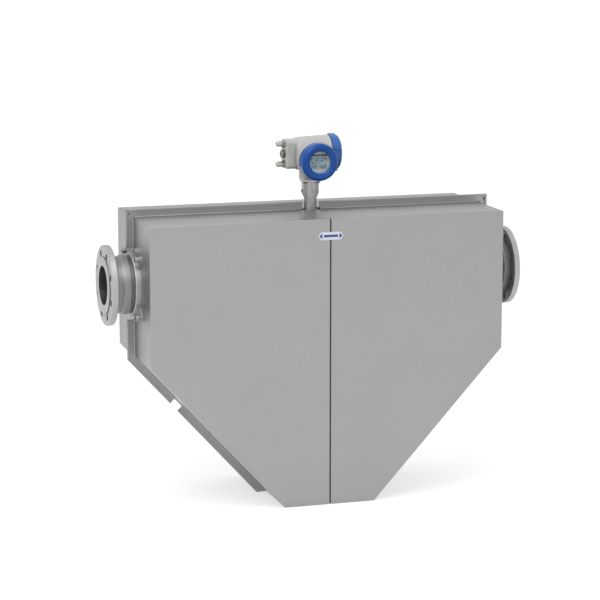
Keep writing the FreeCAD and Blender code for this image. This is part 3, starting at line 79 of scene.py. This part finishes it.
def position(tree, scale=(1, 1, 1)):
    """The point's own coordinates, scaled."""
    coordinates = node(tree, "ShaderNodeTexCoord")
    mapping = node(tree, "ShaderNodeMapping", {"Vector": coordinates.outputs["Object"], "Scale": scale})
    return mapping.outputs["Vector"]


def noise(tree, scale, detail, roughness, stretch=(1, 1, 1)):
    """Noise in object space, stretched along the axes."""
    made = node(
        tree, "ShaderNodeTexNoise",
        {"Vector": position(tree, stretch), "Scale": scale, "Detail": detail, "Roughness": roughness},
    )
    return made.outputs["Fac"]


def remap(tree, value, low, high, start=0.0, end=1.0):
    """A value moved from one range to another and held there."""
    made = node(
        tree, "ShaderNodeMapRange",
        {"Value": value, "From Min": start, "From Max": end, "To Min": low, "To Max": high},
    )
    return made.outputs["Result"]


def blend_colours(tree, factor, first, second):
    """A mix of two colours by a factor."""
    made = node(tree, "ShaderNodeMix", data_type="RGBA")
    tree.links.new(factor, made.inputs["Factor"])
    for socket, colour in zip((made.inputs[6], made.inputs[7]), (first, second)):
        if isinstance(colour, bpy.types.NodeSocket):
            tree.links.new(colour, socket)
        else:
            socket.default_value = (*colour, 1)
    return made.outputs[2]


def bump(tree, height, strength, distance, normal):
    """A normal with a bump laid over it."""
    inputs = {"Height": height, "Strength": strength, "Distance": distance, "Normal": normal}
    return node(tree, "ShaderNodeBump", inputs).outputs["Normal"]


def calculated(tree, operation, first, second=None, third=None):
    """A math node's result; each number may be a value or another node's socket."""
    inputs = {i: value for i, value in enumerate((first, second, third)) if value is not None}
    return node(tree, "ShaderNodeMath", inputs, operation=operation).outputs[0]


def softened(tree, radius):
    """The normal with its sharp edges rounded."""
    return node(tree, "ShaderNodeBevel", {"Radius": radius}, samples=4).outputs["Normal"]


def sheltered(tree, distance):
    """0 where a surface lies open and 1 where other surfaces close it in, which is where shade is painted.
    """
    made = node(tree, "ShaderNodeAmbientOcclusion", {"Distance": distance}, samples=6)
    return remap(tree, made.outputs["AO"], 1.0, 0.0, 0.25, 0.95)


def darkened_by_painted_shade(tree, colour, factor, depth):
    """A colour that goes towards a dark grey-brown as the factor rises: painted shade."""
    return blend_colours(tree, calculated(tree, "MULTIPLY", factor, depth), colour, PAINTED_SHADE_TONE)


def finish_material(tree, output, **inputs):
    """A principled shader with these inputs, joined to the output."""
    named = {key.replace("_", " "): value for key, value in inputs.items()}
    shader = node(tree, "ShaderNodeBsdfPrincipled", named)
    tree.links.new(shader.outputs["BSDF"], output.inputs["Surface"])


# Materials

def steel(name, light, dark, rough, grain, shade=0.3, reach=30 * MM):
    """Brushed stainless steel: a stretched grain, cloudy patches, painted shade in corners and soft edges.
    """
    material, tree, output = new_material(name)
    fine = noise(tree, 900, 2.0, 0.6, grain)
    cloud = noise(tree, 5, 4.0, 0.55)
    smudge = noise(tree, 26, 5.0, 0.6)
    tone = calculated(tree, "MULTIPLY_ADD", fine, cloud, remap(tree, smudge, 0.0, 0.25))
    colour = blend_colours(tree, remap(tree, tone, 0, 1, 0.1, 0.6), dark, light)
    # painted shade where other surfaces close the steel in
    colour = darkened_by_painted_shade(tree, colour, sheltered(tree, reach), shade)
    roughness = remap(tree, smudge, rough - 0.05, rough + 0.06, 0.3, 0.7)
    normal = bump(tree, fine, 0.12, 0.05 * MM, softened(tree, 0.6 * MM))
    finish_material(tree, output, Base_Color=colour, Metallic=1.0, Roughness=roughness, Normal=normal)
    return material


def turned_steel(name, light, dark, rough, pitch, shade, reach):
    """Steel that was turned about the pipe axis, with fine rings round it, painted shade where it is closed
    in and a bore painted dark as shade.
    """
    material, tree, output = new_material(name)
    coordinates = node(tree, "ShaderNodeTexCoord")
    parts = node(tree, "ShaderNodeSeparateXYZ", {"Vector": coordinates.outputs["Object"]})
    x, y, z = (parts.outputs[axis] for axis in "XYZ")
    squares = calculated(tree, "MULTIPLY_ADD", z, z, calculated(tree, "MULTIPLY", y, y))
    radius = calculated(tree, "SQRT", squares)
    along = calculated(tree, "ADD", radius, x)
    wave = calculated(tree, "SINE", calculated(tree, "MULTIPLY", along, 2 * math.pi / pitch))
    smudge = noise(tree, 30, 4.0, 0.6)
    colour = blend_colours(tree, remap(tree, smudge, 0, 1, 0.3, 0.7), dark, light)
    # painted shade where other surfaces close the steel in
    colour = darkened_by_painted_shade(tree, colour, sheltered(tree, reach), shade)
    # painted shade: the bore inside BORE_RADIUS goes dark
    colour = darkened_by_painted_shade(tree, colour, remap(tree, radius, 1.0, 0.0, *BORE_EDGE), 0.8)
    roughness = remap(tree, smudge, rough - 0.04, rough + 0.07, 0.3, 0.7)
    normal = bump(tree, wave, 0.25, 0.04 * MM, softened(tree, 0.5 * MM))
    finish_material(tree, output, Base_Color=colour, Metallic=1.0, Roughness=roughness, Normal=normal)
    return material


def paint(name, colour, shade, rough, peel, gloss=0.5):
    """Powder coat on a casting: a fine peel, faint clouds of tone, painted shade where it is closed in and
    softly rounded edges.
    """
    material, tree, output = new_material(name)
    texture = noise(tree, 420, 3.0, 0.6)
    cloud = noise(tree, 22, 3.0, 0.5)
    tone = blend_colours(tree, remap(tree, cloud, 0, 1, 0.3, 0.7), shade, colour)
    # painted shade where other surfaces close the paint in
    tone = darkened_by_painted_shade(tree, tone, sheltered(tree, 15 * MM), 0.45)
    normal = bump(tree, texture, peel, 0.12 * MM, softened(tree, 0.8 * MM))
    finish_material(
        tree, output, Base_Color=tone, Roughness=remap(tree, texture, rough - 0.04, rough + 0.05),
        Normal=normal, Specular_IOR_Level=gloss,
    )
    return material


def plastic(name, colour, rough, metallic=0.0, shade=0.6):
    """A plain moulded or plated surface with a fine grain and painted shade where it is closed in."""
    material, tree, output = new_material(name)
    texture = noise(tree, 300, 3.0, 0.6)
    tone = blend_colours(tree, texture, tuple(0.82 * c for c in colour), colour)
    # painted shade where other surfaces close the surface in
    tone = darkened_by_painted_shade(tree, tone, sheltered(tree, 12 * MM), shade)
    normal = bump(tree, texture, 0.15, 0.06 * MM, softened(tree, 0.3 * MM))
    finish_material(
        tree, output, Base_Color=tone, Metallic=metallic,
        Roughness=remap(tree, texture, rough - 0.05, rough + 0.05), Normal=normal,
    )
    return material


def clear_glass(name):
    """Thin window glass with faint smears: nearly all of it lets light straight through."""
    material, tree, output = new_material(name)
    smear = noise(tree, 60, 3.0, 0.6)
    finish_material(
        tree, output, Base_Color=(0.06, 0.08, 0.085, 1), Roughness=remap(tree, smear, 0.03, 0.09),
        Alpha=remap(tree, smear, 0.05, 0.08), IOR=1.5,
    )
    return material


def level(value):
    """A neutral grey."""
    return (value, value, value)


casing_steel = steel("casing_steel", level(0.37), level(0.33), 0.42, UP_GRAIN, shade=0.12)
# painted shade: the rear cover's steel is a little darker than the front covers'
shaded_rear_steel = steel("shaded_rear_steel", level(0.34), level(0.3), 0.42, UP_GRAIN, shade=0.12)
# painted light: the seam strip's steel is lighter than the covers' and has no painted shade
lit_strip_steel = steel("lit_strip_steel", level(0.6), level(0.54), 0.5, UP_GRAIN, shade=0.0)
flange_steel = turned_steel("flange_steel", level(0.46), level(0.4), 0.48, 1.2 * MM, 0.85, 70 * MM)
collar_steel = turned_steel("collar_steel", level(0.5), level(0.43), 0.5, 0.8 * MM, 0.25, 12 * MM)
neck_steel = steel("neck_steel", level(0.4), level(0.35), 0.3, UP_GRAIN, reach=14 * MM)
inner_steel = steel("inner_steel", (0.42, 0.42, 0.415), (0.34, 0.34, 0.335), 0.4, ALONG_GRAIN)
screw_steel = plastic("screw_steel", level(0.42), 0.55, 1.0, shade=0.7)
dark_screw = plastic("dark_screw", (0.05, 0.048, 0.046), 0.45, 1.0)
nickel = plastic("nickel", (0.56, 0.56, 0.53), 0.36, 1.0, shade=0.9)
dull_nickel = plastic("dull_nickel", (0.3, 0.3, 0.29), 0.5, 1.0, shade=0.9)
housing_paint = paint("housing_paint", (0.41, 0.408, 0.398), (0.365, 0.363, 0.353), 0.45, 0.18)
ring_paint = paint("ring_paint", (0.001, 0.062, 0.29), (0.001, 0.052, 0.25), 0.27, 0.12, gloss=0.27)
cap_paint = paint("cap_paint", (0.016, 0.1, 0.35), (0.013, 0.088, 0.31), 0.36, 0.12)
badge_face = plastic("badge_face", (0.7, 0.73, 0.86), 0.35)
badge_blue = plastic("badge_blue", (0.04, 0.06, 0.19), 0.35)
rubber = plastic("rubber", level(0.02), 0.6)
module_plastic = plastic("module_plastic", (0.8, 0.83, 0.87), 0.45, shade=0.1)
dark_plastic = plastic("dark_plastic", (0.01, 0.011, 0.013), 0.4)
screen_face = plastic("screen_face", (0.43, 0.62, 0.7), 0.3, shade=0.1)
digit_dark = plastic("digit_dark", (0.012, 0.04, 0.045), 0.35)
board_green = plastic("board_green", (0.02, 0.16, 0.07), 0.4)
copper = plastic("copper", (0.7, 0.33, 0.18), 0.35, 1.0)
window_glass = clear_glass("window_glass")

FINISHES = {
    "front_left_cover": casing_steel, "front_right_cover": casing_steel, "rear_cover": shaded_rear_steel,
    "seam_strip": lit_strip_steel, "badge_plate": badge_face,
    "support_channel": inner_steel, "temperature_sensor": dark_plastic, "wiring_board": board_green,
    "front_measuring_tube": inner_steel, "rear_measuring_tube": inner_steel,
    "drive_coil": copper, "inlet_pickoff_coil": copper, "outlet_pickoff_coil": copper,
    "drive_magnet": screw_steel, "inlet_pickoff_magnet": screw_steel, "outlet_pickoff_magnet": screw_steel,
    "neck_tube": neck_steel, "neck_sleeve": neck_steel, "neck_adapter": neck_steel,
    "neck_adapter_screws": dark_screw, "neck_lock_screw": screw_steel,
    "converter_housing": housing_paint, "electronics_module": dark_plastic,
    "display_module": module_plastic, "display_screen": screen_face,
    "display_cover_ring": ring_paint, "display_glass": window_glass, "display_cover_seal": rubber,
    "terminal_cover": cap_paint, "terminal_cover_seal": rubber,
    "electronics_insert": dark_plastic, "terminal_strip": dark_plastic,
    "blind_plug": dull_nickel, "blind_plug_seal": rubber,
}
for end in ("inlet", "outlet"):
    FINISHES[end + "_flange"] = flange_steel
    FINISHES[end + "_collar"] = collar_steel
    FINISHES[end + "_collar_screws"] = screw_steel
    FINISHES[end + "_collar_nuts"] = screw_steel
    FINISHES[end + "_splitter"] = inner_steel
    FINISHES[end + "_brace_plates"] = inner_steel
for place in ("upper", "lower"):
    FINISHES[place + "_gland_body"] = nickel
    FINISHES[place + "_gland_nut"] = nickel
    FINISHES[place + "_gland_seal"] = rubber

for name, piece in nodes.items():
    piece.data.materials.clear()
    piece.data.materials.append(FINISHES[name])


# Detail pieces

def finish_piece(name, mesh, material, body):
    """Makes a mesh an object with a material, riding on a body."""
    data = bpy.data.meshes.new(name)
    mesh.to_mesh(data)
    mesh.free()
    piece = bpy.data.objects.new(name, data)
    bpy.context.scene.collection.objects.link(piece)
    data.materials.append(material)
    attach(piece, body)


def add_plate(mesh, outline, front, back):
    """An outline of (x, z) points as a plate between two Y planes, added to a mesh."""
    far = [mesh.verts.new((x, back, z)) for x, z in outline]
    near = [mesh.verts.new((x, front, z)) for x, z in outline]
    mesh.faces.new(near)
    mesh.faces.new(list(reversed(far)))
    count = len(outline)
    for i in range(count):
        j = (i + 1) % count
        mesh.faces.new((near[j], near[i], far[i], far[j]))


def bar(x0, x1, z0, z1):
    """A rectangle's outline."""
    return [(x0, z0), (x1, z0), (x1, z1), (x0, z1)]


SEGMENTS = {
    "0": "abcdef", "1": "bc", "2": "abged", "3": "abgcd", "4": "fgbc",
    "5": "afgcd", "6": "afgedc", "7": "abc", "8": "abcdefg", "9": "abcdfg",
}


def hexagon(start, end, tip):
    """A stroke's outline between two places along it, as (along, across) points with a gap at each end."""
    near, far = start + tip * 0.3, end - tip * 0.3
    return [(near, 0), (near + tip, -tip), (far - tip, -tip), (far, 0), (far - tip, tip), (near + tip, tip)]


def add_digit(mesh, digit, x, z, width, height, line, front, back):
    """One seven-segment digit with its lower left corner at x, z; its strokes are bevelled bars."""
    tip = line / 2
    half = height / 2
    strokes = {
        "a": (0, height, width, height), "g": (0, half, width, half), "d": (0, 0, width, 0),
        "f": (0, half, 0, height), "b": (width, half, width, height),
        "e": (0, 0, 0, half), "c": (width, 0, width, half),
    }
    for key in SEGMENTS[digit]:
        x0, z0, x1, z1 = strokes[key]
        if z0 == z1:
            points = hexagon(x0, x1, tip)
            outline = [(x + along, z + z0 + across) for along, across in points]
        else:
            points = hexagon(z0, z1, tip)
            outline = [(x + x0 - across, z + along) for along, across in points]
        add_plate(mesh, outline, front, back)


def add_number(mesh, text, x, z, width, height, line, pitch, front, back):
    """A row of digits; a point is a small square."""
    for character in text:
        if character == ".":
            add_plate(mesh, bar(x - line, x, z - line / 2, z + line / 2), front, back)
            x += line
        else:
            add_digit(mesh, character, x, z, width, height, line, front, back)
            x += pitch


module_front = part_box("display_module")[0][1]
screen_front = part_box("display_screen")[0][1]

bezel = bmesh.new()
bezel_outline = bar(MIDDLE_X - 24 * MM, MIDDLE_X + 24 * MM, DISPLAY_Z + 16.3 * MM, DISPLAY_Z + 20.3 * MM)
add_plate(bezel, bezel_outline, module_front - 0.6 * MM, module_front)
finish_piece("display_bezel_bar", bezel, dark_plastic, "converter")

# Each number: its digits, its corner from the window's middle, then a digit's width and height, the
# stroke and the pitch, all in millimetres.
NUMBERS = (
    ("12.04", -15, 2.4, 6.2, 9.6, 2.3, 9.8),
    ("0035721", -20, -4.6, 2.2, 3.6, 0.9, 3.8),
    ("48160", -19, -17, 5, 8.4, 1.7, 8.6),
)
digits = bmesh.new()
digit_front = screen_front - 0.25 * MM
for shown, x, z, *sizes in NUMBERS:
    width, height, line, pitch = (size * MM for size in sizes)
    add_number(digits, shown, MIDDLE_X + x * MM, DISPLAY_Z + z * MM, width, height, line, pitch,
               digit_front, screen_front)
sign_outline = bar(MIDDLE_X - 22 * MM, MIDDLE_X - 18 * MM, DISPLAY_Z + 5 * MM, DISPLAY_Z + 8.5 * MM)
add_plate(digits, sign_outline, digit_front, screen_front)
finish_piece("display_digits", digits, digit_dark, "converter")

ARROW_TIP = 33 * MM
ARROW_LENGTH = 8.5 * MM
ARROW_HALF = 7.5 * MM
BAR_HALF_LENGTH = 20 * MM
BAR_HALF_HEIGHT = 3.2 * MM
MARK_THICKNESS = 0.15 * MM
badge_low, badge_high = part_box("badge_plate")
badge_z = (badge_low[2] + badge_high[2]) / 2
badge_front = badge_low[1]
mark_front = badge_front - MARK_THICKNESS
marks = bmesh.new()
for side in (-1, 1):
    tip = MIDDLE_X + side * ARROW_TIP
    back_of_tip = tip - side * ARROW_LENGTH
    outline = [(tip, badge_z), (back_of_tip, badge_z + ARROW_HALF), (back_of_tip, badge_z - ARROW_HALF)]
    if side < 0:
        outline.reverse()
    add_plate(marks, outline, mark_front, badge_front)
bar_outline = bar(MIDDLE_X - BAR_HALF_LENGTH, MIDDLE_X + BAR_HALF_LENGTH,
                  badge_z - BAR_HALF_HEIGHT, badge_z + BAR_HALF_HEIGHT)
add_plate(marks, bar_outline, mark_front, badge_front)
finish_piece("badge_marks", marks, badge_blue, "meter")

# painted shade: dark discs in the lips' corner holes stand in for the shade inside them
HOLE_SHADE_RADIUS = 2.7 * MM
HOLE_SHADE_FROM_MIDDLE = 516.3 * MM
HOLE_SHADE_Z = 192.4 * MM
HOLE_SHADE_SIDES = 24
hole_shades = bmesh.new()
turns = [2 * math.pi * i / HOLE_SHADE_SIDES for i in range(HOLE_SHADE_SIDES)]
for side in (-1, 1):
    centre_x = MIDDLE_X + side * HOLE_SHADE_FROM_MIDDLE
    outline = [
        (centre_x + HOLE_SHADE_RADIUS * math.cos(turn), HOLE_SHADE_Z + HOLE_SHADE_RADIUS * math.sin(turn)) for turn in turns
    ]
    add_plate(hole_shades, outline, -0.4 * MM, -0.05 * MM)
finish_piece("lip_hole_shade_discs", hole_shades, rubber, "meter")

# painted shade: dark strips in the gaps beside the neck's foot stand in for the shade there
FOOT_SHADE_SPANS = ((-24.2 * MM, -20.3 * MM), (20.3 * MM, 27.6 * MM))
FOOT_SHADE_BASE, FOOT_SHADE_TOP = 184.1 * MM, 187.4 * MM
foot_shades = bmesh.new()
for near, far in FOOT_SHADE_SPANS:
    add_plate(foot_shades, bar(MIDDLE_X + near, MIDDLE_X + far, FOOT_SHADE_BASE, FOOT_SHADE_TOP), -4.6 * MM, 15 * MM)
finish_piece("neck_foot_shade_strips", foot_shades, rubber, "meter")


# Stage, light and camera

FLOOR_RADIUS = 60
FLOOR_GLOW = 0.56                # with the lit floor's own tone this comes to about 1, which is white
KEY_OFFSET = (-1.4, -1.9, 3.2)
KEY_SIZE = 2.6
KEY_POWER = 75                   # watts


def seen_share(tree):
    """1 for rays from the camera, off gloss or through glass, and 0 for the light that falls on things."""
    path = node(tree, "ShaderNodeLightPath")
    direct = calculated(tree, "MAXIMUM", path.outputs["Is Camera Ray"], path.outputs["Is Transmission Ray"])
    return calculated(tree, "MAXIMUM", direct, path.outputs["Is Glossy Ray"])


bpy.ops.mesh.primitive_circle_add(
    vertices=96, radius=FLOOR_RADIUS, fill_type="NGON", location=(MIDDLE_X, 0, FLOOR_Z),
)
floor = bpy.context.object
floor.name = "floor"
floor_material, tree, output = new_material("floor_pale")
speckle = noise(tree, 3, 3.0, 0.5)
floor_colour = blend_colours(tree, speckle, level(0.5), level(0.53))
matt = node(tree, "ShaderNodeBsdfDiffuse", {"Color": floor_colour})
glow = node(tree, "ShaderNodeEmission", {"Color": (*WHITE, 1), "Strength": FLOOR_GLOW})
seen = node(tree, "ShaderNodeAddShader", {0: matt.outputs[0], 1: glow.outputs[0]})
mixed = node(tree, "ShaderNodeMixShader", {0: seen_share(tree), 1: matt.outputs[0], 2: seen.outputs[0]})
tree.links.new(mixed.outputs[0], output.inputs["Surface"])
floor.data.materials.append(floor_material)

world = bpy.data.worlds.new("studio")
bpy.context.scene.world = world
world.use_nodes = True
tree = world.node_tree
tree.nodes.clear()
output = tree.nodes.new("ShaderNodeOutputWorld")
# What lights the object is a little brighter on the left and behind, and even overhead.
coordinates = node(tree, "ShaderNodeTexCoord")
direction = node(tree, "ShaderNodeSeparateXYZ", {"Vector": coordinates.outputs["Generated"]})
behind = calculated(tree, "MULTIPLY_ADD", direction.outputs["Y"], 0.12, 1.0)
horizon = calculated(tree, "MULTIPLY_ADD", direction.outputs["X"], -0.22, behind)
overhead = remap(tree, direction.outputs["Z"], 0, 1, 0.3, 0.9)
grey = node(tree, "ShaderNodeCombineColor", {channel: horizon for channel in range(3)})
studio = blend_colours(tree, overhead, grey.outputs[0], WHITE)
sky = blend_colours(tree, seen_share(tree), studio, WHITE)
background = node(tree, "ShaderNodeBackground", {"Color": sky, "Strength": 1.0})
tree.links.new(background.outputs[0], output.inputs["Surface"])


def softbox(name, place, target, size, power):
    """A square area lamp that points at a target."""
    data = bpy.data.lights.new(name, "AREA")
    data.shape = "RECTANGLE"
    data.size = data.size_y = size
    data.energy = power
    lamp = bpy.data.objects.new(name, data)
    bpy.context.scene.collection.objects.link(lamp)
    lamp.location = place
    lamp.rotation_euler = (Vector(target) - Vector(place)).to_track_quat("-Z", "Y").to_euler()


centre = Vector((MIDDLE_X, 0, -0.1))
key_x, key_y, key_z = KEY_OFFSET
softbox("key", (MIDDLE_X + key_x, key_y, key_z), centre, KEY_SIZE, KEY_POWER)

camera_data = bpy.data.cameras.new("camera")
camera_data.sensor_width = 36
camera_data.lens = 139.17
camera_data.shift_x = 1.0 / PHOTO_WIDTH
camera_data.shift_y = 1.3 / PHOTO_WIDTH
camera_data.clip_end = 200       # past the floor's edge
camera = bpy.data.objects.new("camera", camera_data)
bpy.context.scene.collection.objects.link(camera)
camera.location = (-1.32346, -6.07866, 1.11596)
look = Vector((0.29050869, 0.93903597, -0.18389166))
camera.rotation_euler = look.to_track_quat("-Z", "Y").to_euler()
bpy.context.scene.camera = camera
bpy.context.scene.view_settings.view_transform = "Standard"
